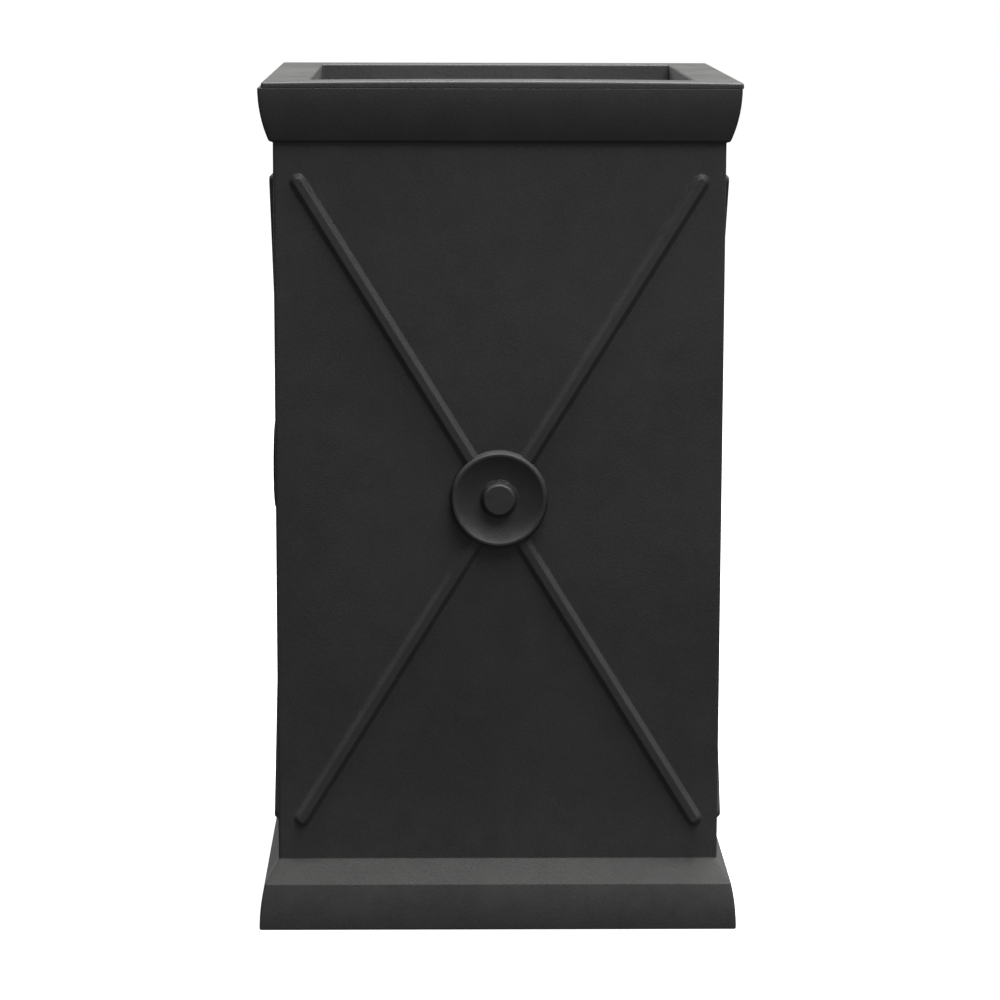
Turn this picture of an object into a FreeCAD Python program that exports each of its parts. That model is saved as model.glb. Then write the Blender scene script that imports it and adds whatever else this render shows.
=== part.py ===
import FreeCAD, Part
import math
import os
import types

import Sketcher
from FreeCAD import Placement, Rotation, Vector

# A square ash and litter bin: a moulded shell with a cornice, a plinth and a raised cross on each side,
# a loose top frame, and a liner inside it that carries the ash tray and its stub plate.
# Millimetres. +X is right, +Y is back, +Z is up, and the origin is on the ground below the centre.

sizes = {
    # whole bin
    "overall_height": 732,
    "body_width": 382,
    "wall": 5,
    # plinth
    "base_width": 415,
    "arris_width": 406,
    "arris_height": 39.5,
    "plinth_height": 60,
    "plinth_inner_width": 396,
    # cornice
    "cornice_width": 406,
    "cornice_radius": 102,
    "cornice_arc_depth": 42,
    "cornice_round": 3.5,
    "throat_out": 1.9,
    "throat_depth": 45.2,
    "throat_radius": 3.9,
    "cornice_depth": 48,
    "flange_thickness": 6,
    "flange_opening": 346,
    "cornice_hollow_width": 394,
    "cornice_hollow_foot": 44,
    "cornice_hollow_top": 28,
    # raised cross
    "cross_width": 340,
    "cross_low": 96,
    "cross_high": 648,
    "bar_width": 15,
    "bar_height": 4,
    "bar_draft": 48,
    "seat_radius": 42.2,
    # rosette
    "rosette_raise": 6,
    "rosette_radius": 42,
    "rosette_shoulder_radius": 40.9,
    "rosette_shoulder_height": 5.2,
    "rosette_lip_outer": 39.9,
    "rosette_lip_inner": 37.7,
    "rosette_lip_height": 9.3,
    "rosette_lip_round": 1.15,
    "rosette_dish_radius": 41,
    "rosette_dish_floor": 2.6,
    "boss_root_radius": 14.9,
    "boss_edge_radius": 13,
    "boss_edge_height": 9.4,
    "boss_face_radius": 12.2,
    "boss_face_height": 10.2,
    "bolt_bore_radius": 3.05,
    "bolt_bore_depth": 8,
    # rosette bolts and washers
    "bolt_radius": 3,
    "bolt_grip": 14,
    "bolt_head_radius": 5.77,
    "bolt_head_height": 4,
    "bolt_clearance_radius": 3.3,
    "washer_radius": 6,
    "washer_thickness": 1.6,
    # top frame
    "frame_width": 404,
    "frame_corner": 2,
    "frame_thickness": 4,
    "frame_edge_round": 1.5,
    "frame_shift": 2,
    "opening_width": 326,
    "collar_wall": 3,
    "collar_depth": 60,
    "seal_thickness": 1,
    "seal_outer": 396,
    "seal_inner": 356,
    "block_length": 60,
    "block_height": 30,
    "block_thickness": 4,
    # base board, cleats, feet and their screws
    "foot_height": 10,
    "foot_radius": 20,
    "foot_spacing": 330,
    "foot_recess_radius": 6,
    "foot_recess_depth": 5,
    "board_width": 392,
    "board_thickness": 12,
    "anchor_spacing": 240,
    "anchor_radius": 6.5,
    "drain_radius": 15,
    "cleat_size": 17,
    "cleat_gap": 1,
    "screw_radius": 2.45,
    "screw_pilot_radius": 2.5,
    "screw_clearance_radius": 2.7,
    "screw_head_radius": 5,
    "screw_head_height": 3,
    "screw_point": 4,
    "cleat_screw_length": 28,
    "foot_screw_length": 14,
    "screw_spread": 120,
    # liner
    "liner_width": 300,
    "liner_sheet": 1.2,
    "liner_top": 678,
    "liner_rim_width": 316,
    "liner_rim_thickness": 2,
    "liner_rim_corner": 8,
    # ash tray, its ledges and the stub plate
    "tray_width": 294,
    "tray_corner": 7,
    "tray_sheet": 1.2,
    "tray_depth": 45,
    "tray_flange_width": 314,
    "ledge_width": 12,
    "ledge_thickness": 1.5,
    "ledge_length": 200,
    "ledge_drop": 14,
    "plate_width": 208,
    "plate_depth": 280,
    "plate_thickness": 2,
    "plate_corner": 6,
    "plate_hole_radius": 4.5,
    "plate_pitch": 24,
    # drop handles
    "liner_wire_radius": 3,
    "liner_grip": 110,
    "liner_reach": 55,
    "liner_handle_corner": 12,
    "liner_standoff": 6,
    "liner_pivot_drop": 73,
    "liner_barrel_length": 60,
    "tray_wire_radius": 2.5,
    "tray_grip": 84,
    "tray_reach": 27,
    "tray_handle_corner": 9,
    "tray_standoff": 5,
    "tray_pivot_drop": 8,
    "tray_barrel_length": 44,
    "barrel_wall": 2,
    "pivot_clearance": 0.06,
    "strap_thickness": 1.5,
    "strap_height": 17,
    "strap_edge": 8,
    "rivet_radius": 2,
    "rivet_clearance": 0.05,
    "rivet_head_radius": 3.6,
    "rivet_head_height": 1.1,
    "rivet_drop": 12,
}


class Size:
    """A length that knows its value now and the formula of sheet cells that gives it."""

    def __init__(self, value, formula):
        self.value = value
        self.formula = formula

    def combine(self, other, sign, work):
        if not isinstance(other, Size):
            other = Size(other, str(other))
        return Size(work(self.value, other.value), f"({self.formula} {sign} {other.formula})")

    def __add__(self, other):
        return self.combine(other, "+", lambda a, b: a + b)

    def __sub__(self, other):
        return self.combine(other, "-", lambda a, b: a - b)

    def __mul__(self, other):
        return self.combine(other, "*", lambda a, b: a * b)

    def __truediv__(self, other):
        return self.combine(other, "/", lambda a, b: a / b)

    def __neg__(self):
        return self * -1

    def root(self):
        return Size(math.sqrt(self.value), f"sqrt({self.formula})")


doc = FreeCAD.newDocument("AshBin")
sheet = doc.addObject("Spreadsheet::Sheet", "Sizes")
for row, (word, number) in enumerate(sizes.items(), start=1):
    sheet.set(f"A{row}", word)
    sheet.set(f"B{row}", str(number))
    sheet.setAlias(f"B{row}", word)
doc.recompute()

d = types.SimpleNamespace(**{word: Size(number, f"Sizes.{word}") for word, number in sizes.items()})
zero = d.wall * 0
nodes = []

# heights and half widths that several pieces share
body_half = d.body_width / 2
inner_half = body_half - d.wall
shell_top = d.overall_height - d.frame_thickness - d.seal_thickness
cross_middle = (d.cross_low + d.cross_high) / 2
rosette_middle = cross_middle + d.rosette_raise
board_top = d.foot_height + d.board_thickness
collar_half = d.opening_width / 2 + d.collar_wall
liner_inner = d.liner_width - d.liner_sheet * 2
tray_inner = d.tray_width - d.tray_sheet * 2
tray_floor = d.liner_top - d.tray_depth
ledge_top = d.liner_top - d.ledge_drop

# turns that carry a piece built facing the front onto each side of the bin
faces = {"front": 0, "right": 90, "back": 180, "left": 270}
sides = {"left": -1, "right": 1}


# ---- small tools -------------------------------------------------------------------------------

def bind(thing, **properties):
    for name, size in properties.items():
        thing.setExpression(name, size.formula)
    return thing


def place(thing, x, y, z, rotation=None):
    """Put a piece at a point given in sizes, turned by the rotation."""
    if rotation:
        thing.Placement = Placement(Vector(0, 0, 0), rotation)
    for axis, size in zip("xyz", (x, y, z)):
        thing.setExpression(f"Placement.Base.{axis}", size.formula)
    return thing


def box(name, x, y, z, width, depth, height):
    """A block centred on x and y, standing on z."""
    block = doc.addObject("Part::Box", name)
    bind(block, Length=width, Width=depth, Height=height)
    return place(block, x - width / 2, y - depth / 2, z)


def cylinder(name, x, y, z, radius, length, rotation=None):
    """A round bar that starts at the point and runs along the turned +Z."""
    bar = doc.addObject("Part::Cylinder", name)
    bind(bar, Radius=radius, Height=length)
    return place(bar, x, y, z, rotation)


def fuse(name, pieces):
    union = doc.addObject("Part::MultiFuse", name)
    union.Shapes = pieces
    return union


def cut(name, base, tools):
    result = doc.addObject("Part::Cut", name)
    result.Base = base
    result.Tool = fuse(f"{name}_tools", tools) if len(tools) > 1 else tools[0]
    return result


def group(name, pieces):
    """Identical fasteners kept together as separate solids."""
    compound = doc.addObject("Part::Compound", name)
    compound.Links = pieces
    return compound


def node(thing, label):
    thing.Label = label
    nodes.append(thing)
    return thing


def bulge(start, end, radius):
    """The middle of the arc between two points; a positive radius bows out to the right of the way."""
    chord = end - start
    sagitta = abs(radius) - math.sqrt(radius ** 2 - (chord.Length / 2) ** 2)
    right = Vector(chord.y, -chord.x, 0).normalize()
    return (start + end) / 2 + right * math.copysign(sagitta, radius)


def outline(sketch, corners):
    """A closed loop. Each corner is (x, y) or (x, y, radius of the arc that leads to the next one)."""
    points = [Vector(corner[0].value, corner[1].value, 0) for corner in corners]
    first = sketch.GeometryCount
    count = len(corners)
    starts = []
    for index, corner in enumerate(corners):
        here, there = points[index], points[(index + 1) % count]
        if len(corner) == 2:
            sketch.addGeometry(Part.LineSegment(here, there))
            starts.append(1)
        else:
            sketch.addGeometry(Part.Arc(here, bulge(here, there, corner[2].value), there))
            starts.append(1 if corner[2].value > 0 else 2)
    for index, corner in enumerate(corners):
        following = (index + 1) % count
        sketch.addConstraint(Sketcher.Constraint(
            "Coincident", first + index, 3 - starts[index], first + following, starts[following]))
        for kind, size, axis in (("DistanceX", corner[0], -2), ("DistanceY", corner[1], -1)):
            if size.value == 0:
                sketch.addConstraint(Sketcher.Constraint("PointOnObject", first + index, starts[index], axis))
            else:
                fix(sketch, size, kind, -1, 1, first + index, starts[index])
        if len(corner) == 3:
            fix(sketch, corner[2] if corner[2].value > 0 else -corner[2], "Radius", first + index)
    return sketch


def fix(sketch, size, kind, *where):
    """Add one dimension to a sketch and tie it to the sheet."""
    index = sketch.addConstraint(Sketcher.Constraint(kind, *where, size.value))
    sketch.setExpression(f"Constraints[{index}]", size.formula)


def circle(sketch, x, y, radius):
    index = sketch.addGeometry(Part.Circle(Vector(x.value, y.value, 0), Vector(0, 0, 1), radius.value))
    fix(sketch, radius, "Radius", index)
    for kind, size, axis in (("DistanceX", x, -2), ("DistanceY", y, -1)):
        if size.value == 0:
            sketch.addConstraint(Sketcher.Constraint("PointOnObject", index, 3, axis))
        else:
            fix(sketch, size, kind, -1, 1, index, 3)


def rectangle(width, depth):
    """The corners of a rectangle about the origin."""
    x, y = width / 2, depth / 2
    return [(-x, -y), (x, -y), (x, y), (-x, y)]


def rounded(width, depth, corner):
    """A rectangle about the origin with quarter-round corners."""
    x, y = width / 2, depth / 2
    return [
        (-x + corner, -y), (x - corner, -y, corner),
        (x, -y + corner), (x, y - corner, corner),
        (x - corner, y), (-x + corner, y, corner),
        (-x, y - corner), (-x, -y + corner, corner),
    ]


def body_sketch(body, role, name, level=None):
    """A sketch on one of the body's own origin planes, raised to a level if one is given."""
    plane = [item for item in body.Origin.OriginFeatures if item.Role == role][0]
    sketch = body.newObject("Sketcher::SketchObject", name)
    sketch.AttachmentSupport = [(plane, "")]
    sketch.MapMode = "FlatFace"
    if level:
        sketch.setExpression("AttachmentOffset.Base.z", level.formula)
    return sketch


def pad(body, name, level, length, *loops):
    """Material added above a level, in the outline that the loops draw."""
    sketch = body_sketch(body, "XY_Plane", f"{name}_sketch", level)
    for loop in loops:
        outline(sketch, loop)
    feature = body.newObject("PartDesign::Pad", name)
    feature.Profile = sketch
    bind(feature, Length=length)
    doc.recompute()
    return feature


def pocket(body, name, level, depth, loops=(), holes=()):
    """Material removed below a level; stops if nothing was removed."""
    before = body.Shape.Volume
    sketch = body_sketch(body, "XY_Plane", f"{name}_sketch", level)
    for loop in loops:
        outline(sketch, loop)
    for x, y, radius in holes:
        circle(sketch, x, y, radius)
    feature = body.newObject("PartDesign::Pocket", name)
    feature.Profile = sketch
    bind(feature, Length=depth)
    doc.recompute()
    if body.Shape.Volume >= before:
        raise RuntimeError(f"{name} removed nothing")
    return feature


def revolve(body, name, corners):
    """A turned piece: the outline is drawn beside the body's Z axis and spun about it."""
    sketch = outline(body_sketch(body, "XZ_Plane", f"{name}_sketch"), corners)
    feature = body.newObject("PartDesign::Revolution", name)
    feature.Profile = sketch
    feature.ReferenceAxis = (sketch, ["V_Axis"])
    feature.Angle = 360
    doc.recompute()
    return feature


def new_body(label):
    body = doc.addObject("PartDesign::Body", label)
    return node(body, label)


def facing(turn):
    """Stands a piece built on +Z out of the front, then turns it to another side."""
    return Rotation(Vector(0, 0, 1), turn) * Rotation(Vector(1, 0, 0), 90)


def on_face(thing, turn, height, out):
    """Moves a piece to the middle of a side, at a height and a distance out from the axis."""
    way = Rotation(Vector(0, 0, 1), turn).multVec(Vector(0, -1, 0))
    return place(thing, out * round(way.x), out * round(way.y), height, facing(turn))


def all_corners(spacing):
    """The four corners of a square about the origin."""
    half = spacing / 2
    return [(half * x, half * y) for x in (-1, 1) for y in (-1, 1)]


# ---- moulded shell -----------------------------------------------------------------------------

def both_sides(right):
    """A whole outline from its right-hand half, listed from the bottom up."""
    left = []
    for index in reversed(range(len(right))):
        arc = right[index - 1][2:] if index else ()
        left.append((-right[index][0], right[index][1]) + arc)
    return right + left


def square_moulding(name, right):
    """A solid whose level sections are all squares: one profile run both ways, and what they share."""
    profile = doc.addObject("Sketcher::SketchObject", f"{name}_profile")
    profile.Placement = Placement(Vector(0, 0, 0), Rotation(Vector(1, 0, 0), 90))
    outline(profile, both_sides(right))
    runs = []
    for way, turn in (("ahead", 0), ("across", 90)):
        run = doc.addObject("Part::Extrusion", f"{name}_{way}")
        run.Base = profile
        run.DirMode = "Custom"
        run.Dir = Vector(0, 1, 0)
        run.Symmetric = True
        run.Solid = True
        run.Placement = Placement(Vector(0, 0, 0), Rotation(Vector(0, 0, 1), turn))
        runs.append(bind(run, LengthFwd=d.base_width * 2))
    shared = doc.addObject("Part::MultiCommon", name)
    shared.Shapes = runs
    return shared


def shell_outside():
    """Plinth, body and cornice: a convex foot, a sloping band, a plain wall and a quarter-round."""
    cornice_half = d.cornice_width / 2
    arris_half = d.arris_width / 2
    arris_drop = d.base_width / 2 - arris_half
    plinth_radius = (d.arris_height * d.arris_height + arris_drop * arris_drop) / (arris_drop * 2)
    across = d.cornice_radius * d.cornice_radius - d.cornice_arc_depth * d.cornice_arc_depth
    arc_inset = d.cornice_radius - across.root()
    return square_moulding("shell_outside", [
        (d.base_width / 2, zero, plinth_radius),
        (arris_half, d.arris_height),
        (body_half, d.plinth_height),
        (body_half, shell_top - d.cornice_depth, -d.throat_radius),
        (body_half + d.throat_out, shell_top - d.throat_depth, d.cornice_round),
        (cornice_half - arc_inset, shell_top - d.cornice_arc_depth, d.cornice_radius),
        (cornice_half, shell_top),
    ])


def shell_inside():
    """The hollow: it follows the wall, widens behind the cornice and narrows at the top flange."""
    plinth_inner = d.plinth_inner_width / 2
    hollow_half = d.cornice_hollow_width / 2
    flange_under = shell_top - d.flange_thickness
    return square_moulding("shell_inside", [
        (plinth_inner, -d.wall),
        (plinth_inner, d.arris_height),
        (inner_half, d.plinth_height),
        (inner_half, shell_top - d.cornice_hollow_foot),
        (hollow_half, shell_top - d.cornice_hollow_top),
        (hollow_half, flange_under),
        (d.flange_opening / 2, flange_under),
        (d.flange_opening / 2, shell_top + d.wall),
    ])


def cross_bar(turn, lean):
    """One bar of the cross: a round-ended strip with sloping sides, lying on a side of the bin."""
    rise = d.cross_high - d.cross_low
    span = (d.cross_width * d.cross_width + rise * rise).root()
    radius = d.bar_width / 2
    name = f"bar_{turn}_{'rising' if lean > 0 else 'falling'}"
    strip = doc.addObject("Sketcher::SketchObject", f"{name}_outline")
    half = span / 2
    outline(strip, [
        (-half, -radius), (half, -radius, radius * 1.0001),
        (half, radius), (-half, radius, radius * 1.0001),
    ])
    bar = doc.addObject("Part::Extrusion", name)
    bar.Base = strip
    bar.DirMode = "Custom"
    bar.Dir = Vector(0, 0, 1)
    bar.Solid = True
    bar.TaperAngle = -d.bar_draft.value
    bind(bar, LengthFwd=d.bar_height)
    angle = math.degrees(math.atan2(rise.value, d.cross_width.value))
    on_face(bar, turn, cross_middle, body_half)
    bar.Placement = Placement(bar.Placement.Base, facing(turn) * Rotation(Vector(0, 0, 1), lean * angle))
    return bar


def body_shell():
    bars = [cross_bar(turn, lean) for turn in faces.values() for lean in (-1, 1)]
    seats = []
    holes = []
    for side, turn in faces.items():
        seat = cylinder(f"seat_{side}", zero, zero, zero, d.seat_radius, d.bar_height * 2)
        seats.append(on_face(seat, turn, rosette_middle, body_half))
        hole = cylinder(f"bolt_hole_{side}", zero, zero, zero, d.bolt_clearance_radius, d.wall * 2)
        holes.append(on_face(hole, turn, rosette_middle, body_half - d.wall * 1.5))
    crosses = cut("crosses", fuse("all_bars", bars), seats)
    solid = fuse("shell_with_crosses", [shell_outside(), crosses])
    node(cut("shell", solid, [shell_inside()] + holes), "body_shell")


# ---- rosettes ----------------------------------------------------------------------------------

def rosette(side, turn):
    """A dished disc with a rounded lip and a boss in the middle, bored from behind for its bolt."""
    body = new_body(f"rosette_{side}")
    revolve(body, f"turned_{side}", [
        (d.bolt_bore_radius, zero),
        (d.rosette_radius, zero),
        (d.rosette_shoulder_radius, d.rosette_shoulder_height),
        (d.rosette_lip_outer, d.rosette_lip_height, d.rosette_lip_round),
        (d.rosette_lip_inner, d.rosette_lip_height, -d.rosette_dish_radius),
        (d.boss_root_radius, d.rosette_dish_floor),
        (d.boss_edge_radius, d.boss_edge_height),
        (d.boss_face_radius, d.boss_face_height),
        (zero, d.boss_face_height),
        (zero, d.bolt_bore_depth),
        (d.bolt_bore_radius, d.bolt_bore_depth),
    ])
    on_face(body, turn, rosette_middle, body_half)


def rosette_fasteners():
    """From inside the shell: a washer against the wall and a hexagon bolt into each rosette."""
    bolts = []
    washers = []
    inside = inner_half - d.washer_thickness
    for side, turn in faces.items():
        head = doc.addObject("Part::Prism", f"bolt_head_{side}")
        head.Polygon = 6
        bind(head, Circumradius=d.bolt_head_radius, Height=d.bolt_head_height)
        on_face(head, turn, rosette_middle, inside - d.bolt_head_height)
        shank = cylinder(f"bolt_shank_{side}", zero, zero, zero, d.bolt_radius, d.bolt_grip)
        on_face(shank, turn, rosette_middle, inside)
        bolts.append(fuse(f"bolt_{side}", [head, shank]))
        disc = cylinder(f"washer_disc_{side}", zero, zero, zero, d.washer_radius, d.washer_thickness)
        on_face(disc, turn, rosette_middle, inside)
        bore = cylinder(f"washer_bore_{side}", zero, zero, zero,
                        d.bolt_clearance_radius, d.washer_thickness * 3)
        on_face(bore, turn, rosette_middle, inside - d.washer_thickness)
        washers.append(cut(f"washer_{side}", disc, [bore]))
    node(group("bolts", bolts), "rosette_bolts")
    node(group("washers", washers), "rosette_washers")


# ---- top frame ---------------------------------------------------------------------------------

def top_frame():
    """A flat square frame with a collar turned down round its opening; it lies loose on the shell."""
    body = new_body("top_frame")
    plate_under = d.overall_height - d.frame_thickness
    collar_bottom = d.overall_height - d.collar_depth
    pad(body, "frame_plate", plate_under, d.frame_thickness,
        rounded(d.frame_width, d.frame_width, d.frame_corner))
    pad(body, "frame_collar", collar_bottom, d.collar_depth,
        rounded(collar_half * 2, collar_half * 2, d.frame_corner + d.collar_wall))
    opened = pocket(body, "frame_opening", d.overall_height, d.collar_depth * 1.5,
                    [rounded(d.opening_width, d.opening_width, d.frame_corner)])
    top = d.overall_height.value
    edges = []
    for number, edge in enumerate(body.Shape.Edges, start=1):
        limits = edge.BoundBox
        outermost = max(abs(limits.XMin), abs(limits.XMax), abs(limits.YMin), abs(limits.YMax))
        if abs(limits.ZMin - top) < 0.01 and outermost > collar_half.value:
            edges.append(f"Edge{number}")
    softened = body.newObject("PartDesign::Fillet", "frame_edge")
    softened.Base = (opened, edges)
    bind(softened, Radius=d.frame_edge_round)
    place(body, d.frame_shift, zero, zero)


def lid_seal():
    """A thin foam ring on the shell's top flange, under the frame."""
    body = new_body("lid_seal")
    pad(body, "seal_ring", shell_top, d.seal_thickness,
        rectangle(d.seal_outer, d.seal_outer), rectangle(d.seal_inner, d.seal_inner))


def lid_blocks():
    """Blocks bonded outside the collar that centre the frame in the shell's opening."""
    out = collar_half + d.block_thickness / 2
    under = d.overall_height - d.frame_thickness - d.block_height
    long, thin = d.block_length, d.block_thickness
    for side, x, y, width, depth in (
        ("front", zero, -out, long, thin),
        ("back", zero, out, long, thin),
        ("left", -out, zero, thin, long),
        ("right", out, zero, thin, long),
    ):
        node(box(f"block_{side}", d.frame_shift + x, y, under, width, depth, d.block_height),
             f"lid_block_{side}")


# ---- base --------------------------------------------------------------------------------------

def cleat_screw_places():
    """Two screws in each cleat, either side of its middle."""
    out = d.plinth_inner_width / 2 - d.cleat_size / 2
    spread = d.screw_spread
    front_and_back = [(spread * x, out * y) for x in (-1, 1) for y in (-1, 1)]
    left_and_right = [(out * x, spread * y) for x in (-1, 1) for y in (-1, 1)]
    return front_and_back + left_and_right


def base_board():
    """The floor of the bin, with its anchor holes, a drain and the holes for its screws."""
    body = new_body("base_board")
    pad(body, "board", d.foot_height, d.board_thickness, rectangle(d.board_width, d.board_width))
    holes = [(x, y, d.anchor_radius) for x, y in all_corners(d.anchor_spacing)]
    holes += [(x, y, d.screw_clearance_radius) for x, y in cleat_screw_places()]
    holes += [(x, y, d.screw_pilot_radius) for x, y in all_corners(d.foot_spacing)]
    holes.append((zero, zero, d.drain_radius))
    pocket(body, "board_holes", board_top, d.board_thickness * 2, holes=holes)


def base_cleats():
    """Battens bonded round the inside of the plinth; the board is screwed up to them from below."""
    out = d.plinth_inner_width / 2 - d.cleat_size / 2
    full = d.plinth_inner_width
    short = full - d.cleat_size * 2 - d.cleat_gap * 2
    size = d.cleat_size
    places = cleat_screw_places()
    for side, x, y, width, depth, screws in (
        ("front", zero, -out, full, size, [spot for spot in places if spot[1].value == -out.value]),
        ("back", zero, out, full, size, [spot for spot in places if spot[1].value == out.value]),
        ("left", -out, zero, size, short, [spot for spot in places if spot[0].value == -out.value]),
        ("right", out, zero, size, short, [spot for spot in places if spot[0].value == out.value]),
    ):
        batten = box(f"batten_{side}", x, y, board_top, width, depth, size)
        pilots = [
            cylinder(f"pilot_{side}_{index}", at_x, at_y, board_top - 1, d.screw_pilot_radius, size)
            for index, (at_x, at_y) in enumerate(screws)
        ]
        node(cut(f"cleat_{side}", batten, pilots), f"base_cleat_{side}")


def screw(name, x, y, z, length):
    """A pan-head wood screw with its head under the level z, pointing up."""
    head = cylinder(f"{name}_head", x, y, z - d.screw_head_height, d.screw_head_radius, d.screw_head_height)
    shank = cylinder(f"{name}_shank", x, y, z, d.screw_radius, length - d.screw_point)
    point = doc.addObject("Part::Cone", f"{name}_point")
    bind(point, Radius1=d.screw_radius, Radius2=d.screw_radius / 4, Height=d.screw_point)
    place(point, x, y, z + length - d.screw_point)
    return fuse(name, [head, shank, point])


def base_screws():
    screws = [
        screw(f"cleat_screw_{index}", x, y, d.foot_height, d.cleat_screw_length)
        for index, (x, y) in enumerate(cleat_screw_places())
    ]
    node(group("cleat_screws", screws), "base_screws")


def feet():
    """Round rubber feet under the board, level with the plinth's edge, each held by one screw."""
    names = ("front_left", "back_left", "front_right", "back_right")
    screws = []
    seat = d.foot_height - d.foot_recess_depth
    for name, (x, y) in zip(names, all_corners(d.foot_spacing)):
        pad_disc = cylinder(f"foot_disc_{name}", x, y, zero, d.foot_radius, d.foot_height)
        recess = cylinder(f"foot_recess_{name}", x, y, -seat, d.foot_recess_radius, seat * 2)
        bore = cylinder(f"foot_bore_{name}", x, y, zero, d.screw_clearance_radius, d.foot_height * 2)
        node(cut(f"foot_{name}", pad_disc, [recess, bore]), f"foot_{name}")
        screws.append(screw(f"foot_screw_{name}", x, y, seat, d.foot_screw_length))
    node(group("screws_in_feet", screws), "foot_screws")


# ---- drop handles, used by the liner and by the tray -------------------------------------------

def handle_frame(side, rest):
    """Turns a handle's own axes: X is its pivot, Y is where it lies at rest, +Z completes them."""
    along = Vector(0, 1, 0)
    if rest == "hanging":
        out = Vector(0, 0, -1)
    else:
        out = Vector(-side, 0, 0)
    return Rotation(along, out, along.cross(out), "XYZ")


def drop_handle(label, sign, rest, pivot_x, pivot_z, grip, reach, corner, wire):
    """A closed wire loop; its inner bar turns in the bracket's barrel."""
    body = new_body(label)
    loop = body_sketch(body, "XY_Plane", f"{label}_loop")
    x = grip / 2
    outline(loop, [
        (zero, zero), (x - corner, zero, corner),
        (x, corner), (x, reach - corner, corner),
        (x - corner, reach), (-x + corner, reach, corner),
        (-x, reach - corner), (-x, corner, corner),
        (-x + corner, zero),
    ])
    section = body_sketch(body, "YZ_Plane", f"{label}_section")
    circle(section, zero, zero, wire)
    pipe = body.newObject("PartDesign::AdditivePipe", f"{label}_wire")
    pipe.Profile = section
    pipe.Spine = (loop, [f"Edge{number}" for number in range(1, loop.GeometryCount + 1)])
    place(body, pivot_x * sign, zero, pivot_z, handle_frame(sign, rest))


def rivet_places(barrel_length):
    return [(barrel_length / 2 - d.strap_edge) * sign for sign in (-1, 1)]


def bracket(label, sign, rest, pivot_x, pivot_z, wire, standoff, barrel_length):
    """A strap riveted to the wall, rolled round the handle's pivot bar at one edge."""
    up = 1 if rest == "hanging" else -1
    wall_x = pivot_x + standoff
    outer = wire + d.barrel_wall
    strap = box(f"{label}_strap", (wall_x - d.strap_thickness / 2) * sign, zero,
                pivot_z if up > 0 else pivot_z - d.strap_height,
                d.strap_thickness, barrel_length, d.strap_height)
    web = box(f"{label}_web", (pivot_x + standoff / 2) * sign, zero, pivot_z - d.strap_thickness,
              standoff, barrel_length, d.strap_thickness * 2)
    along = Rotation(Vector(1, 0, 0), -90)
    barrel = cylinder(f"{label}_barrel", pivot_x * sign, -barrel_length / 2, pivot_z,
                      outer, barrel_length, along)
    bore = cylinder(f"{label}_bore", pivot_x * sign, -barrel_length, pivot_z,
                    wire + d.pivot_clearance, barrel_length * 2, along)
    holes = [
        cylinder(f"{label}_hole_{index}", (wall_x - standoff) * sign, y, pivot_z + d.rivet_drop * up,
                 d.rivet_radius + d.rivet_clearance, standoff * 2, Rotation(Vector(0, 1, 0), 90 * sign))
        for index, y in enumerate(rivet_places(barrel_length))
    ]
    node(cut(f"{label}_body", fuse(f"{label}_whole", [strap, web, barrel]), [bore] + holes), label)


def rivets(label, rest, wall_x, sheet_thickness, pivot_z, barrel_length):
    """Rivets through both brackets' straps and the sheet behind them."""
    up = 1 if rest == "hanging" else -1
    height = pivot_z + d.rivet_drop * up
    made = []
    for side, sign in sides.items():
        outward = Rotation(Vector(0, 1, 0), 90 * sign)
        strap_face = wall_x - d.strap_thickness
        for index, y in enumerate(rivet_places(barrel_length)):
            name = f"{label}_{side}_{index}"
            head = cylinder(f"{name}_head", (strap_face - d.rivet_head_height) * sign, y, height,
                            d.rivet_head_radius, d.rivet_head_height, outward)
            shank = cylinder(f"{name}_shank", strap_face * sign, y, height,
                             d.rivet_radius, d.strap_thickness + sheet_thickness, outward)
            tail = cylinder(f"{name}_tail", (wall_x + sheet_thickness) * sign, y, height,
                            d.rivet_head_radius, d.rivet_head_height, outward)
            made.append(fuse(name, [head, shank, tail]))
    node(group(f"{label}_group", made), label)


def rivet_holes(name, wall_x, sheet_thickness, pivot_z, rest, barrel_length):
    """The holes for those rivets in the sheet itself."""
    up = 1 if rest == "hanging" else -1
    return [
        cylinder(f"{name}_{side}_{index}", (wall_x - sheet_thickness) * sign, y, pivot_z + d.rivet_drop * up,
                 d.rivet_radius + d.rivet_clearance, sheet_thickness * 3,
                 Rotation(Vector(0, 1, 0), 90 * sign))
        for side, sign in sides.items()
        for index, y in enumerate(rivet_places(barrel_length))
    ]


# ---- liner -------------------------------------------------------------------------------------

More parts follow.
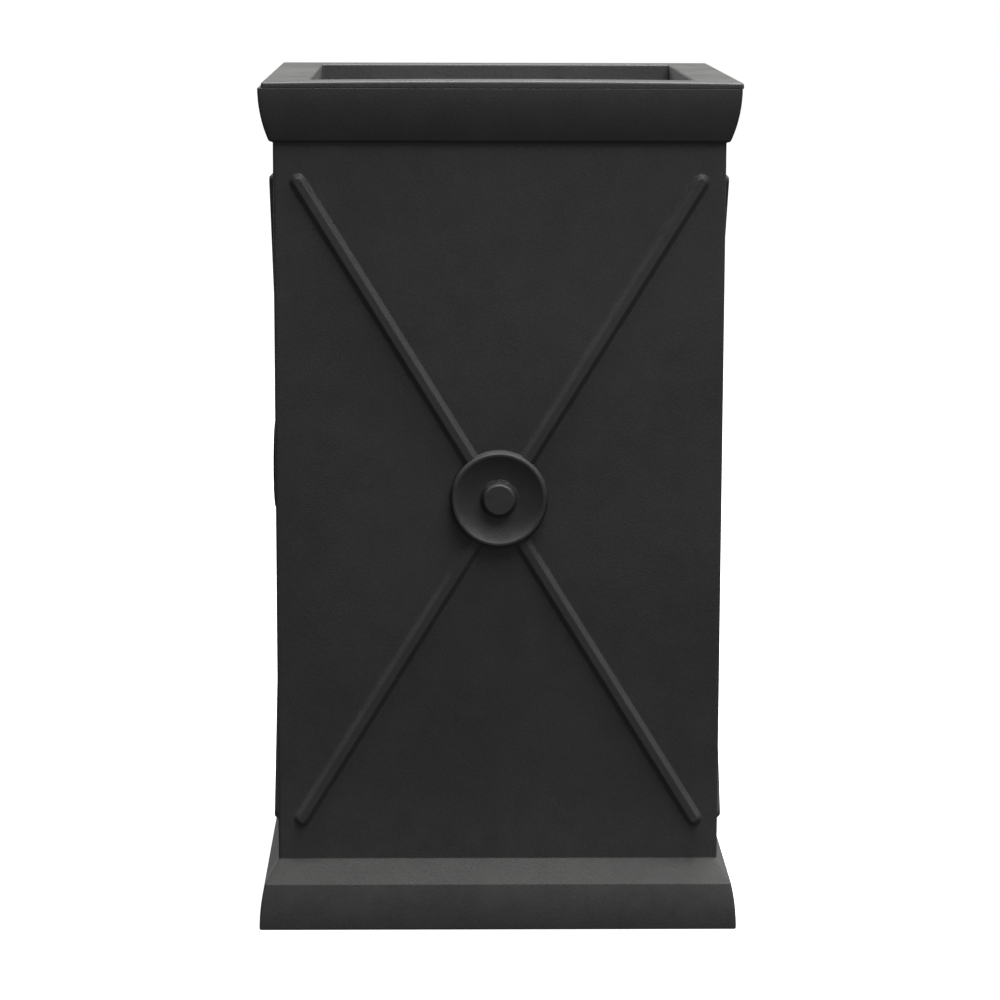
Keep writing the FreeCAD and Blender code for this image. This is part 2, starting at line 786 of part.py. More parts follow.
def liner():
    """Four wall panels seamed at their edges, a floor between them and a flat rim frame on top."""
    across = (d.liner_width - d.liner_sheet) / 2
    rim_low = d.liner_top - d.liner_rim_thickness
    height = rim_low - board_top
    wall_x = liner_inner / 2
    pivot_x = wall_x - d.liner_standoff
    pivot_z = d.liner_top - d.liner_pivot_drop
    holes = rivet_holes("liner_hole", wall_x, d.liner_sheet, pivot_z, "hanging", d.liner_barrel_length)
    for side, sign in (("front", -1), ("back", 1)):
        panel = box(f"panel_{side}", zero, across * sign, board_top, d.liner_width, d.liner_sheet, height)
        node(panel, f"liner_{side}")
    for side, sign in sides.items():
        panel = box(f"panel_{side}", across * sign, zero, board_top, d.liner_sheet, liner_inner, height)
        own = [hole for hole in holes if f"_{side}_" in hole.Name]
        node(cut(f"panel_{side}_drilled", panel, own), f"liner_{side}")
    node(box("floor_sheet", zero, zero, board_top, liner_inner, liner_inner, d.liner_sheet), "liner_floor")
    rim = new_body("liner_rim")
    pad(rim, "rim_frame", rim_low, d.liner_rim_thickness,
        rounded(d.liner_rim_width, d.liner_rim_width, d.liner_rim_corner),
        rectangle(liner_inner, liner_inner))
    for side, sign in sides.items():
        drop_handle(f"liner_handle_{side}", sign, "hanging", pivot_x, pivot_z, d.liner_grip, d.liner_reach,
                    d.liner_handle_corner, d.liner_wire_radius)
        bracket(f"liner_handle_bracket_{side}", sign, "hanging", pivot_x, pivot_z, d.liner_wire_radius,
                d.liner_standoff, d.liner_barrel_length)
    rivets("liner_rivets", "hanging", wall_x, d.liner_sheet, pivot_z, d.liner_barrel_length)


# ---- ash tray and stub plate -------------------------------------------------------------------

def ash_tray():
    """A folded tray with a flat flange turned out round its mouth."""
    flange_out = (d.tray_flange_width - d.tray_width) / 2
    flange_top = d.liner_top + d.tray_sheet
    folded = doc.addObject("PartDesign::Body", "tray_box")
    pad(folded, "tray_outside", tray_floor, d.liner_top - tray_floor,
        rounded(d.tray_width, d.tray_width, d.tray_corner))
    pad(folded, "tray_flange", d.liner_top, d.tray_sheet,
        rounded(d.tray_flange_width, d.tray_flange_width, d.tray_corner + flange_out))
    pocket(folded, "tray_inside", flange_top, flange_top - tray_floor - d.tray_sheet,
           [rounded(tray_inner, tray_inner, d.tray_corner - d.tray_sheet)])
    wall_x = tray_inner / 2
    pivot_x = wall_x - d.tray_standoff
    pivot_z = d.liner_top - d.tray_pivot_drop
    holes = rivet_holes("tray_hole", wall_x, d.tray_sheet, pivot_z, "flat", d.tray_barrel_length)
    node(cut("tray_drilled", folded, holes), "ash_tray")
    for side, sign in sides.items():
        drop_handle(f"tray_handle_{side}", sign, "flat", pivot_x, pivot_z, d.tray_grip, d.tray_reach,
                    d.tray_handle_corner, d.tray_wire_radius)
        bracket(f"tray_handle_bracket_{side}", sign, "flat", pivot_x, pivot_z, d.tray_wire_radius,
                d.tray_standoff, d.tray_barrel_length)
    rivets("tray_rivets", "flat", wall_x, d.tray_sheet, pivot_z, d.tray_barrel_length)


def tray_ledges():
    """Two strips welded inside the tray that the stub plate lies on."""
    out = tray_inner / 2 - d.ledge_width / 2
    strips = [
        box(f"ledge_{name}", zero, out * sign, ledge_top - d.ledge_thickness,
            d.ledge_length, d.ledge_width, d.ledge_thickness)
        for name, sign in (("front", -1), ("back", 1))
    ]
    node(group("ledges", strips), "tray_ledges")


def stub_plate():
    """A perforated plate to stub out on; the ash falls through it into the tray."""
    body = new_body("stub_plate")
    pad(body, "plate", ledge_top, d.plate_thickness, rounded(d.plate_width, d.plate_depth, d.plate_corner))
    columns = int(d.plate_width.value / 2 / d.plate_pitch.value)
    rows = int(d.plate_depth.value / 2 / d.plate_pitch.value)
    holes = [
        (d.plate_pitch * column, d.plate_pitch * line, d.plate_hole_radius)
        for column in range(-columns, columns + 1)
        for line in range(-rows, rows + 1)
    ]
    pocket(body, "perforation", ledge_top + d.plate_thickness, d.plate_thickness * 2, holes=holes)


# ---- make, check and write ---------------------------------------------------------------------

body_shell()
for side, turn in faces.items():
    rosette(side, turn)
rosette_fasteners()
top_frame()
lid_seal()
lid_blocks()
base_board()
base_cleats()
base_screws()
feet()
liner()
ash_tray()
tray_ledges()
stub_plate()
doc.recompute()

for thing in doc.Objects:
    if "Invalid" in thing.State or "Error" in thing.State:
        raise RuntimeError(f"{thing.Label} failed: {thing.State}")
for thing in nodes:
    if thing.Shape.isNull() or not thing.Shape.isValid():
        raise RuntimeError(f"{thing.Label} has no valid shape")

os.makedirs("parts", exist_ok=True)
for thing in nodes:
    thing.Shape.exportStep(f"parts/{thing.Label}.step")
    limits = thing.Shape.BoundBox
    print(f"{thing.Label:28s} {len(thing.Shape.Solids)} solids {thing.Shape.Volume / 1000:9.1f} cm3 "
          f"x {limits.XMin:7.1f} {limits.XMax:7.1f} y {limits.YMin:7.1f} {limits.YMax:7.1f} "
          f"z {limits.ZMin:6.1f} {limits.ZMax:6.1f}")
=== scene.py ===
import math

import bmesh
import bpy
import numpy as np
from mathutils import Euler, Matrix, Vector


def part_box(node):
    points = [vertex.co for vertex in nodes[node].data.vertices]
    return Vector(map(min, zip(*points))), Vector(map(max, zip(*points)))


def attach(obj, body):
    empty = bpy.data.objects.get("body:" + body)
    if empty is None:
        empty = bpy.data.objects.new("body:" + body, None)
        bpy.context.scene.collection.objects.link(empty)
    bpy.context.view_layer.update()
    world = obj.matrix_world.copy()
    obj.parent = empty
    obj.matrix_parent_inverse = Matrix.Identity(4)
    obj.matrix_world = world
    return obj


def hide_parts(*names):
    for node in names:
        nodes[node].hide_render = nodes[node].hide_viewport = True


mm = 0.001
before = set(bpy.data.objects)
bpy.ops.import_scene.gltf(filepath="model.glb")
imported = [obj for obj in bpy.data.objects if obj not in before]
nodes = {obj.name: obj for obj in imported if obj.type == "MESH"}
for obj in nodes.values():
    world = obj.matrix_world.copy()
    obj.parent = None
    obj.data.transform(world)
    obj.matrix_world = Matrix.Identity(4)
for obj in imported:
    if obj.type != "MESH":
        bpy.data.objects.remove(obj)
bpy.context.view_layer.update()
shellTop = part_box("body_shell")[1].z / mm
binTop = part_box("top_frame")[1].z / mm
print("frame loaded:", len(nodes), "nodes")


# Node tools. A feed is a plain value or another node's output.
def put(tree, kind, feeds=None, **settings):
    node = tree.nodes.new(kind)
    for word, value in settings.items():
        setattr(node, word, value)
    for socket, value in (feeds or {}).items():
        if isinstance(value, bpy.types.NodeSocket):
            tree.links.new(value, node.inputs[socket])
        else:
            node.inputs[socket].default_value = value
    return node


def sums(tree, work, a, b=0.0, clamp=False):
    return put(tree, "ShaderNodeMath", {0: a, 1: b}, operation=work, use_clamp=clamp).outputs[0]


def span(tree, value, low, high, outLow=0.0, outHigh=1.0):
    feeds = {"Value": value, "From Min": low, "From Max": high, "To Min": outLow, "To Max": outHigh}
    return put(tree, "ShaderNodeMapRange", feeds, interpolation_type="SMOOTHSTEP").outputs["Result"]


def mixColour(tree, mask, a, b):
    return put(tree, "ShaderNodeMix", {0: mask, 6: a, 7: b}, data_type="RGBA").outputs[2]


def grey(level, warmth=0.0):
    return (level * (1 + warmth), level, level * (1 - warmth), 1)


def newGroup(name, inputs, outputs):
    tree = bpy.data.node_groups.new(name, "ShaderNodeTree")
    for word, value in inputs.items():
        tree.interface.new_socket(word, in_out="INPUT", socket_type="NodeSocketFloat").default_value = value
    for word in outputs:
        tree.interface.new_socket(word, in_out="OUTPUT", socket_type="NodeSocketFloat")
    entry = tree.nodes.new("NodeGroupInput").outputs
    leave = tree.nodes.new("NodeGroupOutput").inputs
    return tree, entry, leave


def useGroup(tree, name, **values):
    feeds = {word: value for word, value in values.items()}
    node = tree.nodes.new("ShaderNodeGroup")
    node.node_tree = bpy.data.node_groups[name]
    for word, value in feeds.items():
        if isinstance(value, bpy.types.NodeSocket):
            tree.links.new(value, node.inputs[word])
        else:
            node.inputs[word].default_value = value
    return node.outputs


def noise(tree, vector, scale, detail=3.0, rough=0.55, warp=0.0):
    feeds = {"Vector": vector, "Scale": scale, "Detail": detail, "Roughness": rough, "Distortion": warp}
    return put(tree, "ShaderNodeTexNoise", feeds).outputs["Fac"]


def objectPlace(tree):
    return tree.nodes.new("ShaderNodeTexCoord").outputs["Object"]


# Shared effects, each built once.
def cloudPatches():
    # broad and middling blotches from two noises, 0 to 1
    tree, entry, leave = newGroup("cloudPatches", {"Scale": 8.0}, ["Mask"])
    place = objectPlace(tree)
    broad = noise(tree, place, entry["Scale"], 4.0, 0.6)
    finer = noise(tree, place, sums(tree, "MULTIPLY", entry["Scale"], 6.0), 3.0, 0.6)
    both = sums(tree, "ADD", sums(tree, "MULTIPLY", broad, 0.65), sums(tree, "MULTIPLY", finer, 0.35))
    tree.links.new(span(tree, both, 0.36, 0.64), leave["Mask"])


def fineGrain():
    # close grain of a cast skin: a height, and a speckle for the colour
    tree, entry, leave = newGroup("fineGrain", {"Scale": 700.0}, ["Height", "Speckle"])
    place = objectPlace(tree)
    coarse = noise(tree, place, entry["Scale"], 3.0, 0.6)
    close = noise(tree, place, sums(tree, "MULTIPLY", entry["Scale"], 2.6), 2.0, 0.5)
    tree.links.new(sums(tree, "ADD", coarse, sums(tree, "MULTIPLY", close, 0.4)), leave["Height"])
    tree.links.new(span(tree, coarse, 0.32, 0.68), leave["Speckle"])


def edgeWear():
    # 1 where the surface turns sharply outwards or inwards within Radius, broken up by noise
    tree, entry, leave = newGroup("edgeWear", {"Radius": 0.002, "Scale": 60.0}, ["Mask"])
    soft = put(tree, "ShaderNodeBevel", {"Radius": entry["Radius"]}, samples=4).outputs[0]
    true = tree.nodes.new("ShaderNodeNewGeometry").outputs["Normal"]
    dot = put(tree, "ShaderNodeVectorMath", {0: soft, 1: true}, operation="DOT_PRODUCT").outputs["Value"]
    turn = span(tree, sums(tree, "SUBTRACT", 1.0, dot), 0.01, 0.22)
    breaks = span(tree, noise(tree, objectPlace(tree), entry["Scale"], 4.0, 0.65), 0.35, 0.65)
    tree.links.new(sums(tree, "MULTIPLY", turn, breaks), leave["Mask"])


def restingDust():
    # dust lies where the piece's own surface faces up, thicker in patches
    tree, entry, leave = newGroup("restingDust", {"Scale": 14.0, "Cover": 1.0}, ["Mask"])
    spot = tree.nodes.new("ShaderNodeTexCoord")
    facing = put(tree, "ShaderNodeSeparateXYZ", {0: spot.outputs["Normal"]}).outputs["Z"]
    level = span(tree, facing, 0.15, 0.95)
    patch = span(tree, noise(tree, spot.outputs["Object"], entry["Scale"], 5.0, 0.65), 0.25, 0.75, 0.45, 1.0)
    lying = sums(tree, "MULTIPLY", level, patch)
    tree.links.new(sums(tree, "MULTIPLY", lying, entry["Cover"]), leave["Mask"])


def brushedLines():
    # long fine lines along x: noise squeezed along y and z
    tree, entry, leave = newGroup("brushedLines", {"Scale": 900.0, "Stretch": 0.02}, ["Lines"])
    squeeze = put(tree, "ShaderNodeCombineXYZ", {"X": entry["Stretch"], "Y": 1.0, "Z": 1.0}).outputs[0]
    feeds = {0: objectPlace(tree), 1: squeeze}
    place = put(tree, "ShaderNodeVectorMath", feeds, operation="MULTIPLY").outputs[0]
    tree.links.new(noise(tree, place, entry["Scale"], 3.0, 0.6), leave["Lines"])


def zincSpangle():
    # flat crystals of different tone from Voronoi cells with warped borders
    tree, entry, leave = newGroup("zincSpangle", {"Scale": 90.0}, ["Tone", "Border"])
    place = objectPlace(tree)
    warp = put(tree, "ShaderNodeTexNoise", {"Vector": place, "Scale": 120.0, "Detail": 2.0})
    shift = put(tree, "ShaderNodeVectorMath", {0: warp.outputs["Color"], "Scale": 0.006}, operation="SCALE")
    moved = put(tree, "ShaderNodeVectorMath", {0: place, 1: shift.outputs[0]}, operation="ADD").outputs[0]
    cells = put(tree, "ShaderNodeTexVoronoi", {"Vector": moved, "Scale": entry["Scale"]}, feature="F1")
    tone = put(tree, "ShaderNodeSeparateColor", {0: cells.outputs["Color"]}).outputs[0]
    edge = put(tree, "ShaderNodeTexVoronoi", {"Vector": moved, "Scale": entry["Scale"]},
               feature="DISTANCE_TO_EDGE").outputs["Distance"]
    tree.links.new(tone, leave["Tone"])
    tree.links.new(span(tree, edge, 0.0, 0.06, 1.0, 0.0), leave["Border"])


def ashSmudge():
    # rubbed soot and settled ash: warped noise, thicker towards the low side
    tree, entry, leave = newGroup("ashSmudge", {"Scale": 16.0, "Low": 0.63, "High": 0.68}, ["Soot", "Ash"])
    place = objectPlace(tree)
    height = put(tree, "ShaderNodeSeparateXYZ", {0: place}).outputs["Z"]
    feeds = {
        "Value": height, "From Min": entry["Low"], "From Max": entry["High"],
        "To Min": 1.0, "To Max": 0.25,
    }
    near = put(tree, "ShaderNodeMapRange", feeds).outputs["Result"]
    rub = span(tree, noise(tree, place, entry["Scale"], 6.0, 0.62, 0.6), 0.44, 0.68)
    grain = span(tree, noise(tree, place, 420.0, 4.0, 0.7), 0.52, 0.62)
    tree.links.new(sums(tree, "MULTIPLY", rub, near), leave["Soot"])
    drift = span(tree, noise(tree, place, 22.0, 4.0, 0.6), 0.5, 0.72)
    spread = sums(tree, "MULTIPLY", sums(tree, "MULTIPLY", drift, grain), near)
    tree.links.new(spread, leave["Ash"])


def woodGrain():
    # growth lines: a wave across the stretched direction, bent by noise
    tree, entry, leave = newGroup("woodGrain", {"Along X": 1.0, "Scale": 90.0}, ["Lines", "Pores"])
    squeezeX = sums(tree, "SUBTRACT", 1.0, sums(tree, "MULTIPLY", entry["Along X"], 0.94))
    squeezeY = sums(tree, "ADD", 0.06, sums(tree, "MULTIPLY", entry["Along X"], 0.94))
    squeeze = put(tree, "ShaderNodeCombineXYZ", {"X": squeezeX, "Y": squeezeY, "Z": 1.0}).outputs[0]
    feeds = {0: objectPlace(tree), 1: squeeze}
    place = put(tree, "ShaderNodeVectorMath", feeds, operation="MULTIPLY").outputs[0]
    tree.links.new(noise(tree, place, entry["Scale"], 3.0, 0.5, 1.2), leave["Lines"])
    pores = noise(tree, place, sums(tree, "MULTIPLY", entry["Scale"], 9.0), 2.0, 0.6)
    tree.links.new(span(tree, pores, 0.6, 0.75), leave["Pores"])


for effect in (
    cloudPatches, fineGrain, edgeWear, restingDust,
    brushedLines, zincSpangle, ashSmudge, woodGrain,
):
    effect()
print("shared effects built:", len(bpy.data.node_groups))


# Finishes. Colours and roughness come through nodes, steady numbers are set on the shader itself.
def newFinish(name, **steady):
    finish = bpy.data.materials.new(name)
    finish.use_nodes = True
    tree = finish.node_tree
    shader = tree.nodes["Principled BSDF"]
    for word, value in steady.items():
        shader.inputs[word].default_value = value
    return finish, tree, shader.inputs


def bump(tree, inputs, height, distance, strength=1.0):
    feeds = {"Height": height, "Distance": distance, "Strength": strength}
    tree.links.new(put(tree, "ShaderNodeBump", feeds).outputs[0], inputs["Normal"])


def charcoalMoulding(name, look):
    # dark pigmented moulding: faint blotches, close grain, slightly polished edges and dust on top
    finish, tree, inputs = newFinish(name)
    clouds = useGroup(tree, "cloudPatches", Scale=look["blotch"])["Mask"]
    grain = useGroup(tree, "fineGrain", Scale=look["grain"])
    worn = useGroup(tree, "edgeWear", Radius=0.0022, Scale=45.0)["Mask"]
    dust = useGroup(tree, "restingDust", Scale=14.0, Cover=look["dust"])["Mask"]
    base = mixColour(tree, clouds, grey(look["dark"]), grey(look["pale"], 0.01))
    mottle = useGroup(tree, "cloudPatches", Scale=look["blotch"] * 7)["Mask"]
    base = mixColour(tree, sums(tree, "MULTIPLY", mottle, 0.22), base, grey(look["dark"] * 0.7))
    fleck = sums(tree, "MULTIPLY", grain["Speckle"], look["fleck"])
    base = mixColour(tree, fleck, base, grey(look["pale"] * 1.9))
    base = mixColour(tree, sums(tree, "MULTIPLY", worn, look["wear"]), base, grey(0.11, 0.02))
    base = mixColour(tree, dust, base, grey(0.30, 0.04))
    # painted bounce light: the low wall and plinth turn paler towards the ground, standing in for light
    # thrown up from the floor, fading out above the plinth
    low = put(tree, "ShaderNodeSeparateXYZ", {0: objectPlace(tree)}).outputs["Z"]
    paintedFloorBounce = span(tree, low, 0.05, 0.15, look["paintedFloorBounce"], 0.0)
    paintedFloorBounce = sums(tree, "MULTIPLY", paintedFloorBounce, sums(tree, "SUBTRACT", 1.25, sums(tree, "MULTIPLY", mottle, 0.5)))
    base = mixColour(tree, paintedFloorBounce, base, grey(0.17, 0.03))
    tree.links.new(base, inputs["Base Color"])
    rough = sums(tree, "ADD", look["rough"], sums(tree, "MULTIPLY", clouds, 0.10))
    rough = sums(tree, "SUBTRACT", rough, sums(tree, "MULTIPLY", worn, 0.12))
    rough = sums(tree, "ADD", rough, sums(tree, "MULTIPLY", dust, 0.4), clamp=True)
    tree.links.new(rough, inputs["Roughness"])
    swell = noise(tree, objectPlace(tree), 7.0, 2.0, 0.4)
    height = sums(tree, "ADD", sums(tree, "MULTIPLY", grain["Height"], look["relief"]),
                  sums(tree, "MULTIPLY", swell, 1.2))
    bump(tree, inputs, height, 0.0004)
    return finish


def galvanised(name, look):
    finish, tree, inputs = newFinish(name, Metallic=1.0)
    spangle = useGroup(tree, "zincSpangle", Scale=look["cells"])
    clouds = useGroup(tree, "cloudPatches", Scale=11.0)["Mask"]
    base = mixColour(tree, spangle["Tone"], grey(look["dark"], -0.02), grey(look["pale"], -0.015))
    base = mixColour(tree, sums(tree, "MULTIPLY", clouds, 0.35), base, grey(look["dark"] * 0.8))
    base = mixColour(tree, sums(tree, "MULTIPLY", spangle["Border"], 0.15), base, grey(look["pale"] * 1.1))
    tree.links.new(base, inputs["Base Color"])
    rough = sums(tree, "ADD", look["rough"], sums(tree, "MULTIPLY", spangle["Tone"], 0.16))
    rough = sums(tree, "ADD", rough, sums(tree, "MULTIPLY", clouds, 0.10), clamp=True)
    tree.links.new(rough, inputs["Roughness"])
    bump(tree, inputs, spangle["Tone"], 0.00003)
    return finish


def brushedSteel(name, look):
    finish, tree, inputs = newFinish(name, Metallic=1.0)
    lines = useGroup(tree, "brushedLines", Scale=look["lines"], Stretch=0.015)["Lines"]
    smudge = useGroup(tree, "ashSmudge", Scale=look["smudge"], Low=look["low"], High=look["high"])
    base = mixColour(tree, lines, grey(0.24), grey(0.36, 0.01))
    base = mixColour(tree, sums(tree, "MULTIPLY", smudge["Soot"], look["soot"]), base, grey(0.035, 0.06))
    base = mixColour(tree, sums(tree, "MULTIPLY", smudge["Ash"], look["ash"]), base, grey(0.42, 0.03))
    tree.links.new(base, inputs["Base Color"])
    cover = sums(tree, "ADD", sums(tree, "MULTIPLY", smudge["Soot"], look["soot"]), smudge["Ash"], clamp=True)
    tree.links.new(sums(tree, "SUBTRACT", 1.0, cover, clamp=True), inputs["Metallic"])
    rough = sums(tree, "ADD", sums(tree, "MULTIPLY", lines, 0.2), 0.38)
    rough = sums(tree, "ADD", rough, sums(tree, "MULTIPLY", cover, 0.5), clamp=True)
    tree.links.new(rough, inputs["Roughness"])
    height = sums(tree, "ADD", sums(tree, "MULTIPLY", lines, 0.4), sums(tree, "MULTIPLY", smudge["Ash"], 0.2))
    bump(tree, inputs, height, 0.00005)
    return finish


def platedMetal(name, look):
    # zinc plate or bare alloy: slight tint, rubbed edges, dull in patches
    finish, tree, inputs = newFinish(name, Metallic=1.0)
    clouds = useGroup(tree, "cloudPatches", Scale=look["blotch"])["Mask"]
    grain = useGroup(tree, "fineGrain", Scale=1400.0)
    worn = useGroup(tree, "edgeWear", Radius=0.0006, Scale=220.0)["Mask"]
    base = mixColour(tree, clouds, look["dark"], look["pale"])
    base = mixColour(tree, sums(tree, "MULTIPLY", worn, 0.6), base, grey(0.82))
    tree.links.new(base, inputs["Base Color"])
    rough = sums(tree, "ADD", look["rough"], sums(tree, "MULTIPLY", clouds, 0.22))
    tree.links.new(sums(tree, "SUBTRACT", rough, sums(tree, "MULTIPLY", worn, 0.1)), inputs["Roughness"])
    bump(tree, inputs, grain["Height"], 0.00003)
    return finish


def softBlack(name, look):
    # rubber or foam: cells or fine pits, scuffed pale on its edges
    finish, tree, inputs = newFinish(name)
    grain = useGroup(tree, "fineGrain", Scale=look["cells"])
    worn = useGroup(tree, "edgeWear", Radius=0.0012, Scale=120.0)["Mask"]
    dust = useGroup(tree, "restingDust", Scale=30.0, Cover=0.25)["Mask"]
    base = mixColour(tree, grain["Speckle"], grey(look["dark"]), grey(look["pale"], 0.02))
    base = mixColour(tree, sums(tree, "MULTIPLY", worn, 0.5), base, grey(0.09, 0.04))
    tree.links.new(mixColour(tree, dust, base, grey(0.2, 0.05)), inputs["Base Color"])
    rough = span(tree, grain["Height"], 0.3, 1.1, look["rough"], look["rough"] + 0.15)
    tree.links.new(rough, inputs["Roughness"])
    bump(tree, inputs, grain["Height"], look["relief"])
    return finish


def nylonFinish():
    finish, tree, inputs = newFinish("blackNylon")
    clouds = useGroup(tree, "cloudPatches", Scale=40.0)["Mask"]
    grain = useGroup(tree, "fineGrain", Scale=1100.0)
    worn = useGroup(tree, "edgeWear", Radius=0.001, Scale=90.0)["Mask"]
    base = mixColour(tree, clouds, grey(0.045), grey(0.06))
    tree.links.new(mixColour(tree, worn, base, grey(0.12)), inputs["Base Color"])
    tree.links.new(span(tree, grain["Speckle"], 0.0, 1.0, 0.38, 0.5), inputs["Roughness"])
    bump(tree, inputs, grain["Height"], 0.00004)
    return finish


def timber(name, look):
    finish, tree, inputs = newFinish(name)
    wood = useGroup(tree, "woodGrain", Scale=look["scale"], **{"Along X": look["alongX"]})
    clouds = useGroup(tree, "cloudPatches", Scale=9.0)["Mask"]
    worn = useGroup(tree, "edgeWear", Radius=0.0012, Scale=80.0)["Mask"]
    lines = span(tree, wood["Lines"], 0.38, 0.62)
    base = mixColour(tree, lines, look["early"], look["late"])
    base = mixColour(tree, sums(tree, "MULTIPLY", wood["Pores"], 0.45), base, look["pore"])
    if look["plies"]:
        # veneers of the board show on its edges, as bands by height
        height = put(tree, "ShaderNodeSeparateXYZ", {0: objectPlace(tree)}).outputs["Z"]
        stack = sums(tree, "MULTIPLY", sums(tree, "SUBTRACT", height, look["under"]), look["plies"])
        band = sums(tree, "PINGPONG", stack, 1.0)
        normal = tree.nodes.new("ShaderNodeTexCoord").outputs["Normal"]
        up = put(tree, "ShaderNodeSeparateXYZ", {0: normal}).outputs["Z"]
        side = sums(tree, "LESS_THAN", sums(tree, "ABSOLUTE", up), 0.5)
        dark = sums(tree, "MULTIPLY", sums(tree, "GREATER_THAN", band, 0.5), side)
        base = mixColour(tree, sums(tree, "MULTIPLY", dark, 0.65), base, look["glue"])
    base = mixColour(tree, sums(tree, "MULTIPLY", clouds, 0.3), base, look["pore"])
    base = mixColour(tree, sums(tree, "MULTIPLY", worn, 0.4), base, look["early"])
    tree.links.new(base, inputs["Base Color"])
    tree.links.new(span(tree, lines, 0.0, 1.0, 0.62, 0.78), inputs["Roughness"])
    bump(tree, inputs, sums(tree, "SUBTRACT", lines, wood["Pores"]), 0.00015)
    return finish


# the shell's low wall and plinth get painted bounce light from the floor, see charcoalMoulding
shellLook = {"blotch": 6.0, "grain": 620.0, "dark": 0.036, "pale": 0.046, "fleck": 0.16, "wear": 0.35,
             "dust": 0.17, "paintedFloorBounce": 0.12, "rough": 0.56, "relief": 0.5}
frameLook = dict(shellLook, dark=0.041, pale=0.052, dust=0.105, fleck=0.2, rough=0.5)
rosetteLook = dict(shellLook, blotch=16.0, wear=0.2, fleck=0.12, rough=0.54, relief=0.4)
linerLook = {"cells": 105.0, "dark": 0.47, "pale": 0.60, "rough": 0.34}
strapLook = {"cells": 210.0, "dark": 0.48, "pale": 0.66, "rough": 0.32}
trayLook = {"lines": 900.0, "smudge": 15.0, "low": 0.634, "high": 0.675, "soot": 0.75, "ash": 0.85}
plateLook = dict(trayLook, lines=1100.0, smudge=26.0, low=0.60, high=0.80, soot=0.7, ash=0.45)
wireLook = {"blotch": 60.0, "dark": grey(0.55, -0.01), "pale": grey(0.7), "rough": 0.2}
zincLook = {"blotch": 150.0, "dark": (0.50, 0.51, 0.53, 1), "pale": (0.66, 0.65, 0.58, 1), "rough": 0.24}
alloyLook = {"blotch": 200.0, "dark": grey(0.6), "pale": grey(0.74), "rough": 0.3}
foamLook = {"cells": 900.0, "dark": 0.008, "pale": 0.020, "rough": 0.8, "relief": 0.0004}
rubberLook = {"cells": 700.0, "dark": 0.016, "pale": 0.028, "rough": 0.62, "relief": 0.0001}
plyLook = {"scale": 70.0, "alongX": 1.0, "plies": 1 / (1.33 * mm), "under": 0.010,
           "early": (0.42, 0.27, 0.14, 1), "late": (0.30, 0.17, 0.08, 1),
           "pore": (0.13, 0.07, 0.035, 1), "glue": (0.12, 0.06, 0.03, 1)}
cleatLook = dict(plyLook, scale=110.0, plies=0, early=(0.50, 0.36, 0.19, 1), late=(0.36, 0.22, 0.10, 1))

finishes = {
    "shell_moulding": charcoalMoulding("charcoalShell", shellLook),
    "frame_moulding": charcoalMoulding("charcoalFrame", frameLook),
    "rosette_casting": charcoalMoulding("charcoalRosette", rosetteLook),
    "galvanised_sheet": galvanised("galvanisedSheet", linerLook),
    "bracket_strap": galvanised("galvanisedStrap", strapLook),
    "tray_steel": brushedSteel("trayStainless", trayLook),
    "plate_steel": brushedSteel("plateStainless", plateLook),
    "handle_wire": platedMetal("brightWire", wireLook),
    "plated_fasteners": platedMetal("zincPlate", zincLook),
    "rivet_alloy": platedMetal("rivetAlloy", alloyLook),
    "seal_foam": softBlack("blackFoam", foamLook),
    "foot_rubber": softBlack("blackRubber", rubberLook),
    "nylon_blocks": nylonFinish(),
    "board_plywood": timber("facedPly", plyLook),
    "cleat_timber": timber("battenAcross", cleatLook),
}
battenDeep = timber("battenDeep", dict(cleatLook, alongX=0.0))
print("finishes built:", len(finishes))


# Surfaces. Outlines and profiles are in millimetres, finished points in metres.
def gridFaces(rows, columns, wrapRows, wrapColumns):
    # cell (i, j) has the corners (i, j), (i, j+1), (i+1, j+1), (i+1, j)
    # and point (i, j) is number i * columns + j
    lastRow = rows - (not wrapRows)
    lastColumn = columns - (not wrapColumns)
    i, j = np.meshgrid(np.arange(lastRow), np.arange(lastColumn), indexing="ij")
    nextI = (i + 1) % rows
    nextJ = (j + 1) % columns
    corners = [i * columns + j, i * columns + nextJ, nextI * columns + nextJ, nextI * columns + j]
    return np.stack(corners, axis=-1).reshape(-1, 4)


def makePiece(name, surfaces, body, slot, standsFor, closed=True):
    # surfaces is a list of (grid of points, rows joined, columns joined); shared points are merged
    points = []
    faces = []
    count = 0
    for grid, wrapRows, wrapColumns in surfaces:
        points.append(grid.reshape(-1, 3))
        faces.append(gridFaces(*grid.shape[:2], wrapRows, wrapColumns) + count)
        count += grid.shape[0] * grid.shape[1]
    mesh = bpy.data.meshes.new(name)
    mesh.from_pydata((np.concatenate(points) * mm).tolist(), [], np.concatenate(faces).tolist())
    work = bmesh.new()
    work.from_mesh(mesh)
    bmesh.ops.remove_doubles(work, verts=work.verts, dist=1e-6)
    loose = [vertex for vertex in work.verts if not vertex.link_faces]
    bmesh.ops.delete(work, geom=loose, context="VERTS")
    if closed:
        bmesh.ops.recalc_face_normals(work, faces=work.faces)
        openEdges = sum(1 for edge in work.edges if len(edge.link_faces) != 2)
        if openEdges:
            print("  open or crowded edges on", name, openEdges)
    work.to_mesh(mesh)
    work.free()
    mesh.shade_smooth()
    piece = bpy.data.objects.new(name, mesh)
    bpy.context.scene.collection.objects.link(piece)
    mesh.materials.append(finishes[slot])
    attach(piece, body)
    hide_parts(*standsFor)
    return piece


